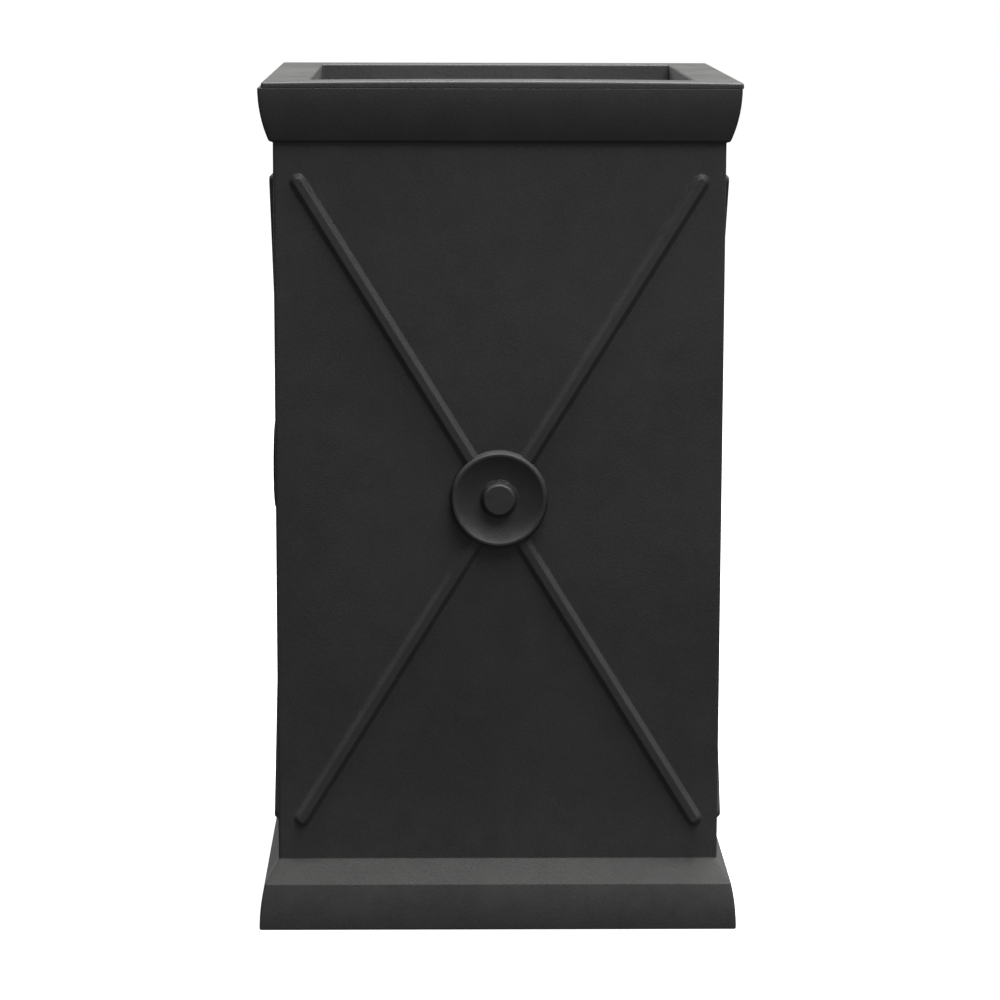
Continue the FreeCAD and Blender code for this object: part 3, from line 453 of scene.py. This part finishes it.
def softOutline(corners, steps=5, support=0.9):
    # every corner (across, up, radius) of a closed outline gives way to an arc that touches both
    # runs beside it: centre = corner + bisector * radius / sin(half angle), and the arc is a slerp
    # between the two touching points.
    # A support point follows each arc so that flats stay flat. Returns (across, up, corner index).
    spots = np.array([corner[:2] for corner in corners], float)
    radius = np.array([corner[2] if len(corner) > 2 else 0.0 for corner in corners], float)
    back = np.roll(spots, 1, axis=0) - spots
    ahead = np.roll(spots, -1, axis=0) - spots
    backLength = np.linalg.norm(back, axis=1)
    aheadLength = np.linalg.norm(ahead, axis=1)
    back /= backLength[:, None]
    ahead /= aheadLength[:, None]
    half = np.arccos(np.clip((back * ahead).sum(1), -1, 1)) / 2
    half = np.clip(half, 1e-3, math.pi / 2 - 1e-4)
    touch = radius / np.tan(half)
    bisector = back + ahead
    bisector /= np.maximum(np.linalg.norm(bisector, axis=1), 1e-9)[:, None]
    centre = spots + bisector * (radius / np.sin(half))[:, None]
    start = spots + back * touch[:, None] - centre
    end = spots + ahead * touch[:, None] - centre
    sweep = math.pi - 2 * half
    share = np.linspace(0, 1, steps + 1)
    first = np.sin((1 - share) * sweep[:, None]) / np.sin(sweep)[:, None]
    second = np.sin(share * sweep[:, None]) / np.sin(sweep)[:, None]
    arc = centre[:, None] + first[..., None] * start[:, None] + second[..., None] * end[:, None]
    beyond = np.where(radius > 0, support, 0)
    before = spots + back * np.minimum(touch + beyond, backLength * 0.5)[:, None]
    after = spots + ahead * np.minimum(touch + beyond, aheadLength * 0.5)[:, None]
    path = np.concatenate([before[:, None], arc, after[:, None]], axis=1).reshape(-1, 2)
    owner = np.repeat(np.arange(len(corners)), steps + 3)
    keep = np.linalg.norm(path - np.roll(path, 1, axis=0), axis=1) > 1e-5
    keep[0] = True
    return path[keep, 0], path[keep, 1], owner[keep]


def squareRings(across, corner, up, arcSteps=6, shares=(0.006, 0.03, 0.15, 0.5)):
    # ring i is a square of half width across[i] with corner arcs of radius corner[i]:
    # the arc in each quarter is (across - corner) * signs + corner * (cos, sin),
    # and a side is shared out between arcs
    corner = np.clip(corner, 0, across)
    turn = np.linspace(0, math.pi / 2, arcSteps + 1)
    part = np.unique(np.concatenate([shares, 1 - np.array(shares)]))
    arcs = []
    for quarter in range(4):
        angle = turn + quarter * math.pi / 2
        signs = np.round(math.sqrt(2) * np.array([math.cos(math.pi / 4 + quarter * math.pi / 2),
                                                  math.sin(math.pi / 4 + quarter * math.pi / 2)]))
        inset = (across - corner)[:, None, None] * signs
        arcs.append(inset + corner[:, None, None] * np.stack([np.cos(angle), np.sin(angle)], axis=-1))
    pieces = []
    for quarter in range(4):
        leave = arcs[quarter][:, -1:]
        arrive = arcs[(quarter + 1) % 4][:, :1]
        pieces += [arcs[quarter], leave + (arrive - leave) * part[:, None]]
    flat = np.concatenate(pieces, axis=1)
    height = np.broadcast_to(up[:, None, None], flat.shape[:2] + (1,))
    return np.concatenate([flat, height], axis=-1)


def squareSection(corners, edges, **steps):
    # an outline carried round a square; edges gives the upright corner radius at each outline corner,
    # and points of an outline arc keep to the same centre as that radius
    across, up, owner = softOutline(corners)
    edges = np.array(edges, float)
    home = np.array([corner[0] for corner in corners], float)
    return squareRings(across, np.maximum(edges[owner] + across - home[owner], 0.05), up, **steps)


def turned(corners, steps):
    # an outline (radius, height) turned about the axis: (r cos a, r sin a, h)
    radius, height = softOutline(corners, steps=5, support=0.4)[:2]
    angle = np.linspace(0, 2 * math.pi, steps, endpoint=False)
    grid = [radius[:, None] * np.cos(angle), radius[:, None] * np.sin(angle), height[:, None] + 0 * angle]
    return np.stack(grid, axis=-1)


def onFace(points, turn, out):
    # x runs across the face, y up it and z out of it; the face stands out from the bin's axis by out
    front = np.stack([points[..., 0], -(points[..., 2] + out), points[..., 1]], axis=-1)
    c, s = math.cos(turn), math.sin(turn)
    return front @ np.array([[c, s, 0], [-s, c, 0], [0, 0, 1]])


def arcBetween(a, b, radius, steps, side=1):
    # points on the arc of that radius from a to b; side says which way it bulges from the chord
    a, b = np.array(a, float), np.array(b, float)
    chord = b - a
    length = np.linalg.norm(chord)
    normal = np.array([-chord[1], chord[0]]) / length * side
    centre = (a + b) / 2 - normal * math.sqrt(radius ** 2 - length ** 2 / 4)
    start = math.atan2(*(a - centre)[::-1])
    end = math.atan2(*(b - centre)[::-1])
    sweep = (end - start + math.pi) % (2 * math.pi) - math.pi
    angle = start + sweep * np.linspace(0, 1, steps)
    return centre + radius * np.stack([np.cos(angle), np.sin(angle)], axis=-1)


faceTurns = {"front": 0, "right": math.pi / 2, "back": math.pi, "left": -math.pi / 2}

# Moulded shell with its plinth, cornice and raised crosses
shell = {
    "bodyHalf": 191, "wall": 5, "edge": 2.3,
    "baseHalf": 207.5, "arrisHalf": 203, "arrisUp": 39.5, "plinthUp": 60, "plinthRadius": 175.6,
    "cornicePlan": 203, "corniceRadius": 118, "corniceFoot": 41.0,
    "flange": 6, "mouthHalf": 173, "hollowHalf": 197, "plinthInner": 198,
}
cross = {
    "halfWidth": 170, "low": 96, "high": 648, "height": 4.0, "flat": 3.1, "foot": 7.0, "flare": 8.6,
    "seatUp": 378, "seatRadius": 40,
}


def shellSection():
    top = shellTop
    s = shell
    plinth = arcBetween((s["baseHalf"], 0), (s["arrisHalf"], s["arrisUp"]), s["plinthRadius"], 9, side=-1)
    depth = np.linspace(s["corniceFoot"], 0, 14)
    reach = s["cornicePlan"] - s["corniceRadius"] + np.sqrt(s["corniceRadius"] ** 2 - depth ** 2)
    cornice = np.stack([reach, top - depth], axis=-1)
    outside = [(s["baseHalf"], 0, 1.2)]
    outside += [tuple(spot) for spot in plinth[1:-1]]
    outside += [(s["arrisHalf"], s["arrisUp"], 1.1), (s["bodyHalf"], s["plinthUp"], 1.8)]
    outside += [(s["bodyHalf"], top - 45.8, 0.6), (s["bodyHalf"] + 3.5, top - 44.3, 3.4)]
    outside += [tuple(spot) for spot in cornice[:-1]]
    outside += [(s["cornicePlan"], top, 0.2)]
    inside = [
        (s["mouthHalf"], top, 1.0), (s["mouthHalf"], top - s["flange"], 1.0),
        (s["hollowHalf"], top - s["flange"], 2.0), (s["hollowHalf"], top - 28, 5.0),
        (s["bodyHalf"] - s["wall"], top - 44, 6.0), (s["bodyHalf"] - s["wall"], s["plinthUp"], 3.0),
        (s["plinthInner"], s["arrisUp"], 3.0), (s["plinthInner"], 0, 1.5),
    ]
    edges = [s["edge"]] * len(outside) + [3.0] * len(inside)
    return squareSection(outside + inside, edges)


def crossArm(sideways, upways):
    # a round-ended strip: at distance d from its spine it stands h(d) proud,
    # and ring d is the spine plus d * normal
    c = cross
    end = np.array([sideways * c["halfWidth"], c["high"] if upways > 0 else c["low"]], float)
    middle = np.array([0, (c["high"] + c["low"]) / 2], float)
    way = (end - middle) / np.linalg.norm(end - middle)
    toSeat = middle - np.array([0, c["seatUp"]])
    along = -toSeat @ way + math.sqrt((toSeat @ way) ** 2 - toSeat @ toSeat + c["seatRadius"] ** 2)
    start = middle + way * along
    left = np.array([-way[1], way[0]])
    shares = np.array([0, 0.012, 0.25, 0.5, 0.75, 0.988, 1])
    run = start + (end - start) * shares[:, None]
    swing = np.linspace(0, math.pi, 15)[1:-1]
    cap = np.cos(swing)[:, None] * left + np.sin(swing)[:, None] * way
    spine = np.concatenate([run, np.repeat(end[None], 13, 0), run[::-1], np.repeat(start[None], 13, 0)])
    normal = np.concatenate([np.repeat(left[None], 7, 0), cap, np.repeat(-left[None], 7, 0), -cap])
    distance, height = softOutline([
        (0, c["height"]), (c["flat"], c["height"], 1.5), (c["foot"], 0.15, 3.0),
        (c["flare"], -0.25), (c["flare"], -1.5), (0, -1.5),
    ], steps=4, support=0.5)[:2]
    flat = spine + distance[:, None, None] * normal
    proud = np.broadcast_to(height[:, None, None], flat.shape[:2] + (1,))
    return np.concatenate([flat, proud], axis=-1)


def bodyShell():
    surfaces = [(shellSection(), True, True)]
    for turn in faceTurns.values():
        for sideways in (-1, 1):
            for upways in (-1, 1):
                surfaces.append((onFace(crossArm(sideways, upways), turn, shell["bodyHalf"]), False, True))
    makePiece("bodyShell", surfaces, "bin_body", "shell_moulding", ["body_shell"])


bodyShell()
print("shell built")

# Rosettes: a dish with a rounded lip and a boss, on each face
rosetteSizes = {
    "root": 42, "shoulder": (40.9, 5.2), "lipOuter": 39.9, "lipInner": 37.7, "lip": 9.3, "lipRound": 1.05,
    "dishRadius": 41, "bossRoot": (15.3, 2.4), "bossEdge": (13.3, 9.2), "bossFace": (12.2, 10.2),
    "bore": 3.05, "boreDepth": 8,
}


def rosettes():
    r = rosetteSizes
    dish = arcBetween(r["bossRoot"], (r["lipInner"], r["lip"]), r["dishRadius"], 15, side=-1)
    outline = [(0, r["bossFace"][1]), (*r["bossFace"], 0.6), (*r["bossEdge"], 0.5), (*r["bossRoot"], 1.2)]
    outline += [tuple(spot) for spot in dish[1:-1]]
    outline += [
        (r["lipInner"], r["lip"], r["lipRound"]), (r["lipOuter"], r["lip"], r["lipRound"]),
        (*r["shoulder"], 2.0), (r["root"], 0), (r["bore"], 0),
        (r["bore"], r["boreDepth"]), (0, r["boreDepth"]),
    ]
    shape = turned(outline, 112)
    for side, turn in faceTurns.items():
        placed = onFace(shape + np.array([0, cross["seatUp"], 0]), turn, shell["bodyHalf"])
        makePiece("rosette_" + side + "_dish", [(placed, False, True)], "bin_body", "rosette_casting",
                  ["rosette_" + side])


rosettes()
print("rosettes built")

# Top frame with its collar, lying loose and slightly bowed
topFrame = {
    "half": 202, "thick": 4, "opening": 163, "collar": 166, "collarDepth": 60, "edge": 2.0,
    "lip": 0.8, "lipInner": 199.2, "draft": 0.1, "deeper": 1.0045, "bow": 1.5,
}


def frameSection():
    t = topFrame
    top = binTop
    centre = (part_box("top_frame")[0].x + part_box("top_frame")[1].x) / 2 / mm
    grid = squareSection([
        (t["half"], top - t["thick"] - t["lip"], 0.4), (t["half"] - t["draft"], top, 1.9),
        (t["opening"], top, 1.6),
        (t["opening"], top - t["collarDepth"], 1.0), (t["collar"], top - t["collarDepth"], 1.0),
        (t["collar"], top - t["thick"], 1.2), (t["lipInner"], top - t["thick"], 0.3),
        (t["lipInner"], top - t["thick"] - t["lip"], 0.3),
    ], [t["edge"], t["edge"], 1.6, 1.6, 3.0, 3.0, 1.0, 1.0], shares=(0.005, 0.03, 0.1, 0.2, 0.3, 0.4, 0.5))
    # the top of the front edge rises towards its middle as 1 - x^2, fading out to the back
    rise = t["bow"] * (1 - (grid[..., 0] / t["half"]) ** 2) * (0.5 - grid[..., 1] / t["half"] / 2)
    grid[..., 2] += rise * np.clip((grid[..., 2] - top + t["thick"] + t["lip"]) / t["thick"], 0, 1)
    grid[..., 1] *= t["deeper"]
    return grid + np.array([centre, 0, 0])


makePiece("topFrame", [(frameSection(), True, True)], "lid", "frame_moulding", ["top_frame"])
print("top frame built")

# Liner and ash tray: folded sheet with turned rims
linerSizes = {"half": 150, "sheet": 1.2, "low": 22, "top": 678, "rimHalf": 158, "rimThick": 2, "corner": 3}
linerPanels = ["liner_front", "liner_back", "liner_left", "liner_right", "liner_floor", "liner_rim"]
traySizes = {
    "half": 147, "sheet": 1.2, "low": 633, "top": 679.2, "rimHalf": 157, "rimThick": 1.2, "corner": 7,
}


def foldedBox(sizes):
    half, sheet, low, top = sizes["half"], sizes["sheet"], sizes["low"], sizes["top"]
    rim, thick, corner = sizes["rimHalf"], sizes["rimThick"], sizes["corner"]
    outline = [
        (0, low), (half * 0.6, low), (half, low, 2.4), (half, top - thick, 1.2),
        (rim, top - thick, thick * 0.42), (rim, top, thick * 0.42),
        (half - sheet, top, 2.2), (half - sheet, low + sheet, 1.2), (half * 0.6, low + sheet),
        (0, low + sheet),
    ]
    outCorner = corner + rim - half
    edges = [0, corner * 0.6, corner, corner, outCorner, outCorner,
             corner - sheet, corner - sheet, corner * 0.6, 0]
    return squareSection(outline, edges, arcSteps=7, shares=(0.01, 0.1, 0.3, 0.5))


makePiece("linerBox", [(foldedBox(linerSizes), False, True)], "liner", "galvanised_sheet", linerPanels)
makePiece("ashTray", [(foldedBox(traySizes), False, True)], "tray", "tray_steel", ["ash_tray"])
print("liner and tray built")

# Perforated stub plate
# the plate's middle lies 0.05 mm high, clear of the ledges
plateSizes = {
    "x": 104, "y": 140, "corner": 6, "middle": 665.05, "thick": 2,
    "hole": 4.5, "pitch": 24, "across": 4, "deep": 5,
}


def stubPlate():
    # round each hole, ring u lies between the hole's circle and the cell's rectangle:
    # (1 - u) * circle + u * rectangle
    p = plateSizes
    angle = np.linspace(0, 2 * math.pi, 32, endpoint=False)
    circle = np.stack([np.cos(angle), np.sin(angle)], axis=-1)
    square = circle / np.abs(circle).max(1)[:, None]
    surfaces = []
    for column in range(-p["across"], p["across"] + 1):
        for line in range(-p["deep"], p["deep"] + 1):
            middle = np.array([column, line], float) * p["pitch"]
            low = middle - p["pitch"] / 2
            high = middle + p["pitch"] / 2
            for axis, (last, edge) in enumerate(((p["across"], p["x"]), (p["deep"], p["y"]))):
                low[axis] = -edge if (column, line)[axis] == -last else low[axis]
                high[axis] = edge if (column, line)[axis] == last else high[axis]
            border = middle + np.where(square > 0, square * (high - middle), square * (middle - low))
            inset = np.array([p["x"], p["y"]]) - p["corner"]
            past = np.abs(border) - inset
            rounded = (past > 0).all(1)
            fit = p["corner"] / np.maximum(np.linalg.norm(past, axis=1), 1e-9)
            border = np.where(rounded[:, None], np.sign(border) * (inset + past * fit[:, None]), border)
            ring = np.array([0.0, 0.35, 1.0])[:, None, None]
            flat = (1 - ring) * (middle + p["hole"] * circle) + ring * border
            height = np.full(flat.shape[:2] + (1,), float(p["middle"]))
            surfaces.append((np.concatenate([flat, height], axis=-1), False, True))
    piece = makePiece("stubPlate", surfaces, "stub_plate", "plate_steel", ["stub_plate"], closed=False)
    thickness = piece.modifiers.new("thickness", "SOLIDIFY")
    thickness.thickness = p["thick"] * mm
    thickness.offset = 0
    rounding = piece.modifiers.new("rounding", "BEVEL")
    rounding.width = 0.35 * mm
    rounding.segments = 2
    rounding.limit_method = "ANGLE"
    rounding.angle_limit = math.radians(50)
    rounding.harden_normals = True


stubPlate()
print("stub plate built")

# Drop handles: a wire loop whose inner bar turns in the bracket
linerHandle = {
    "pivotX": 142.8, "pivotUp": 605, "grip": 110, "reach": 55, "corner": 12, "wire": 3, "hangs": True,
}
trayHandle = {
    "pivotX": 140.8, "pivotUp": 670, "grip": 84, "reach": 27, "corner": 9, "wire": 2.5, "hangs": False,
}


def wireLoop(h, sign):
    # the spine is a rounded rectangle; the tube is spine + wire * (cos b * inPlane + sin b * upright)
    half = h["grip"] / 2
    reach = h["reach"]
    x, y = softOutline([
        (half, 0, h["corner"]), (half, reach, h["corner"]),
        (-half, reach, h["corner"]), (-half, 0, h["corner"]),
    ], steps=12, support=2.0)[:2]
    spine = np.stack([x, y], axis=-1)
    way = np.roll(spine, -1, axis=0) - np.roll(spine, 1, axis=0)
    way /= np.linalg.norm(way, axis=1)[:, None]
    inPlane = np.stack([-way[:, 1], way[:, 0]], axis=-1)
    around = np.linspace(0, 2 * math.pi, 20, endpoint=False)
    flat = spine[:, None] + h["wire"] * np.cos(around)[:, None] * inPlane[:, None]
    upright = np.broadcast_to(h["wire"] * np.sin(around), flat.shape[:2])
    if h["hangs"]:
        out = [sign * h["pivotX"] + upright, flat[..., 0], h["pivotUp"] - flat[..., 1]]
    else:
        out = [sign * (h["pivotX"] - flat[..., 1]), flat[..., 0], h["pivotUp"] + upright]
    return np.stack(out, axis=-1)


for side, sign in (("left", -1), ("right", 1)):
    for owner, handle in (("liner", linerHandle), ("tray", trayHandle)):
        label = owner + "_handle_" + side
        makePiece(label + "_wire", [(wireLoop(handle, sign), True, True)], label, "handle_wire", [label])
print("handles built")

# Rivets with domed heads
rivetSizes = {"head": 3.6, "dome": 1.1, "shank": 2.0, "strap": 1.5, "sheet": 1.2}


def rivetSet(name, body, node, wallX, up, spread):
    r = rivetSizes
    grip = r["strap"] + r["sheet"]
    # dome: height falls off as the square root of 1 - (r / head)^2
    ring = np.sin(np.linspace(0, math.pi / 2, 7)) * r["head"]
    dome = np.sqrt(np.maximum(1 - (ring / r["head"]) ** 2, 0)) * r["dome"]
    outline = [(a, -b) for a, b in zip(ring, dome)]
    outline += [(r["shank"], 0), (r["shank"], grip)]
    outline += [(a, grip + b) for a, b in zip(ring[::-1], dome[::-1])]
    shape = turned(outline, 24)
    surfaces = []
    for sign in (-1, 1):
        for place in (-spread, spread):
            inner = wallX - r["strap"]
            points = [sign * (inner + shape[..., 2]), place + shape[..., 0], up + shape[..., 1]]
            surfaces.append((np.stack(points, axis=-1), False, True))
    makePiece(name, surfaces, body, "rivet_alloy", [node])


rivetSet("linerRivetHeads", "liner", "liner_rivets", 148.8, 617, 22)
rivetSet("trayRivetHeads", "tray", "tray_rivets", 145.8, 658, 14)
print("rivets built")

# Finishes on the frame's own nodes
slotOf = {
    "lid_seal": "seal_foam", "rosette_bolts": "plated_fasteners", "rosette_washers": "plated_fasteners",
    "base_board": "board_plywood", "base_screws": "plated_fasteners", "foot_screws": "plated_fasteners",
    "tray_ledges": "tray_steel",
}
for name, node in nodes.items():
    slot = slotOf.get(name)
    if name.startswith("lid_block"):
        slot = "nylon_blocks"
    elif name.startswith("base_cleat"):
        slot = "cleat_timber"
    elif name.startswith("foot_") and name != "foot_screws":
        slot = "foot_rubber"
    elif "_bracket_" in name:
        slot = "bracket_strap"
    if slot:
        finish = battenDeep if name in ("base_cleat_left", "base_cleat_right") else finishes[slot]
        for holder in node.material_slots:
            holder.material = finish
print("finishes given to the frame's nodes")

# Floor, light and camera
# a lamp overhead, a broad one slanting from the front right, a weak front fill and two rim lamps
studio = {
    "key": {"place": (0.50, 0.0, 5.5), "size": 1.6, "power": 500.0},
    "slant": {"place": (0.75, -1.06, 2.96), "size": 2.0, "power": 60.0},
    "front": {"place": (1.06, -3.67, 2.1), "size": 2.0, "power": 8.0},
    "rearLeft": {"place": (-2.4, 2.6, 1.6), "size": 1.6, "power": 45.0},
    "rearRight": {"place": (2.4, 2.6, 1.6), "size": 1.6, "power": 35.0},
    "ambient": 0.12,
}


def areaLight(name, place, size, power):
    lamp = bpy.data.lights.new(name, "AREA")
    lamp.shape = "DISK"
    lamp.size = size
    lamp.energy = power
    light = bpy.data.objects.new(name, lamp)
    bpy.context.scene.collection.objects.link(light)
    aim = Matrix.Translation(place).to_translation() - Matrix.Translation((0, 0, 0.4)).to_translation()
    light.rotation_euler = aim.to_track_quat("Z", "Y").to_euler()
    light.location = place
    light.visible_camera = False
    return light


for name in ("key", "slant", "front", "rearLeft", "rearRight"):
    areaLight(name + "Light", **studio[name])

world = bpy.data.worlds.new("studio")
bpy.context.scene.world = world
world.use_nodes = True
skyTree = world.node_tree
seen = skyTree.nodes.new("ShaderNodeLightPath").outputs["Is Camera Ray"]
level = put(skyTree, "ShaderNodeMapRange", {"Value": seen, "To Min": studio["ambient"], "To Max": 1.0})
skyTree.nodes["Background"].inputs["Color"].default_value = (1, 1, 1, 1)
skyTree.links.new(level.outputs["Result"], skyTree.nodes["Background"].inputs["Strength"])

floorMesh = bpy.data.meshes.new("floor")
reach = 14.0
under = -0.0004  # a hair below the plinth
ring = [(-reach, -reach, under), (reach, -reach, under), (reach, reach, under), (-reach, reach, under)]
floorMesh.from_pydata(ring, [], [(0, 1, 2, 3)])
floor = bpy.data.objects.new("floor", floorMesh)
bpy.context.scene.collection.objects.link(floor)
paper, _, paperInputs = newFinish("palePaper", Roughness=1.0)
paperInputs["Specular IOR Level"].default_value = 0.0
paperInputs["Base Color"].default_value = (0.5, 0.5, 0.5, 1)
paperInputs["Emission Color"].default_value = (1, 1, 1, 1)
paperInputs["Emission Strength"].default_value = 0.96
floorMesh.materials.append(paper)
floor.visible_diffuse = False
floor.visible_glossy = False

view = {"place": (-0.0505, -3.030, 0.8640), "down": 0.1700, "aside": 0.0181, "roll": 0.0028, "lens": 121.18}
lens = bpy.data.cameras.new("camera")
lens.lens = view["lens"]
lens.sensor_width = 36
camera = bpy.data.objects.new("camera", lens)
bpy.context.scene.collection.objects.link(camera)
turn = Euler((math.pi / 2 - view["down"], 0, -view["aside"])).to_matrix()
turn = turn @ Matrix.Rotation(view["roll"], 3, "Z")
camera.rotation_euler = turn.to_euler()
camera.location = view["place"]
bpy.context.scene.camera = camera
bpy.context.scene.view_settings.view_transform = "Standard"
print("stage, light and camera set")
